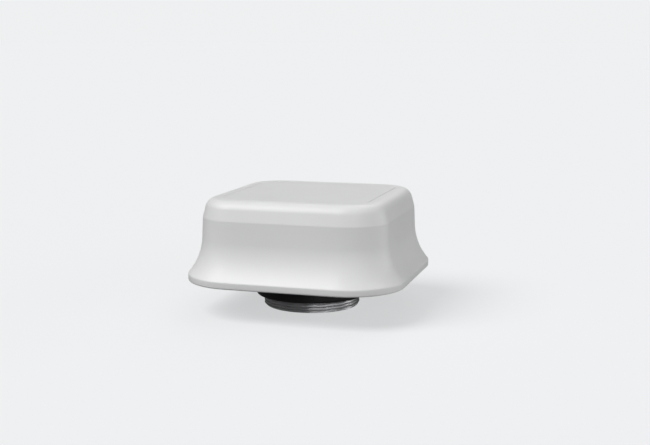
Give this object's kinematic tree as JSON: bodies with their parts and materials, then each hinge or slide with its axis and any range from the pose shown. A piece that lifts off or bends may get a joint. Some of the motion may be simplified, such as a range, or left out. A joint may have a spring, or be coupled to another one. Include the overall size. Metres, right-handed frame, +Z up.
{
  "type": "gnss receiver",
  "caption": "Square low white radome with a flared skirt on a short, wide threaded neck with a black lock nut; the connector is recessed in the neck.",
  "frame": {"origin": "centre of the neck's open end face, on the neck's axis", "axes": "+Z up through the radome, -Y towards the front face"},
  "size_m": [0.112, 0.112, 0.0588],
  "materials": {
    "white_plastic": "satin moulded, light grey-white",
    "inlay_film": "matt printed film, left blank",
    "black_plastic": "fine moulded grain",
    "seal_rubber": "moulded",
    "gasket_rubber": "closed-cell, matt",
    "nut_plastic": "glass-filled, satin",
    "steel_screw": "passivated",
    "washer_steel": "zinc plated",
    "neck_aluminium": "turned, bare",
    "plate_aluminium": "bead blasted",
    "vent_plastic": "moulded",
    "connector_nickel": "nickel plated brass",
    "insert_plastic": "moulded",
    "contact_gold": "gold plated",
    "board_laminate": "solder mask",
    "brass_hex": "turned hexagon bar",
    "shield_tin": "tin plated sheet",
    "chip_resin": "moulded epoxy",
    "ferrite": "pressed ferrite",
    "capacitor_can": "drawn can",
    "cell_steel": "nickel plated",
    "copper_sheet": "tinned copper sheet",
    "ceramic": "fired ceramic",
    "silver_film": "fired silver"
  },
  "bodies": {
    "housing": {"radome_cover": "white_plastic", "top_inlay": "inlay_film", "base_plate": "black_plastic", "perimeter_seal": "seal_rubber", "cover_screws": "steel_screw", "threaded_neck": "neck_aluminium", "neck_seal": "seal_rubber", "neck_screws": "steel_screw", "panel_gasket": "gasket_rubber", "connector_plate": "plate_aluminium", "plate_seal": "seal_rubber", "plate_screws": "steel_screw", "vent_body": "vent_plastic", "vent_seal": "seal_rubber", "connector_shell": "connector_nickel", "connector_insert": "insert_plastic", "connector_pins": "contact_gold", "connector_seal": "seal_rubber", "connector_nut": "connector_nickel", "main_board": "board_laminate", "board_standoffs": "brass_hex", "board_spacers": "brass_hex", "receiver_module": "shield_tin", "processor_chip": "chip_resin", "memory_chip": "chip_resin", "power_inductor": "ferrite", "filter_capacitors": "capacitor_can", "backup_battery": "cell_steel", "coax_sockets": "contact_gold", "coax_bullet": "contact_gold", "antenna_board": "board_laminate", "ground_plane": "copper_sheet", "lower_patch": "ceramic", "lower_electrode": "silver_film", "upper_patch": "ceramic", "upper_electrode": "silver_film", "feed_pins": "contact_gold", "amplifier_shield": "shield_tin", "amplifier_chips": "chip_resin", "antenna_screws": "steel_screw"},
    "washer": {"thrust_washer": "washer_steel"},
    "nut": {"lock_nut": "nut_plastic"}
  },
  "joints": [
    {"name": "nut_turn", "type": "hinge", "parent": "washer", "child": "nut", "pos_m": [0, 0, 0.0098], "axis": [0, 0, -1], "range_deg": [0, 3312]},
    {"name": "nut_travel", "type": "slide", "parent": "housing", "child": "washer", "axis": [0, 0, -1], "range_m": [0, 0.01385]}
  ],
  "couplings": [
    {"joint": "nut_travel", "follows": "nut_turn", "m_per_rad": 0.00023873}
  ]
}
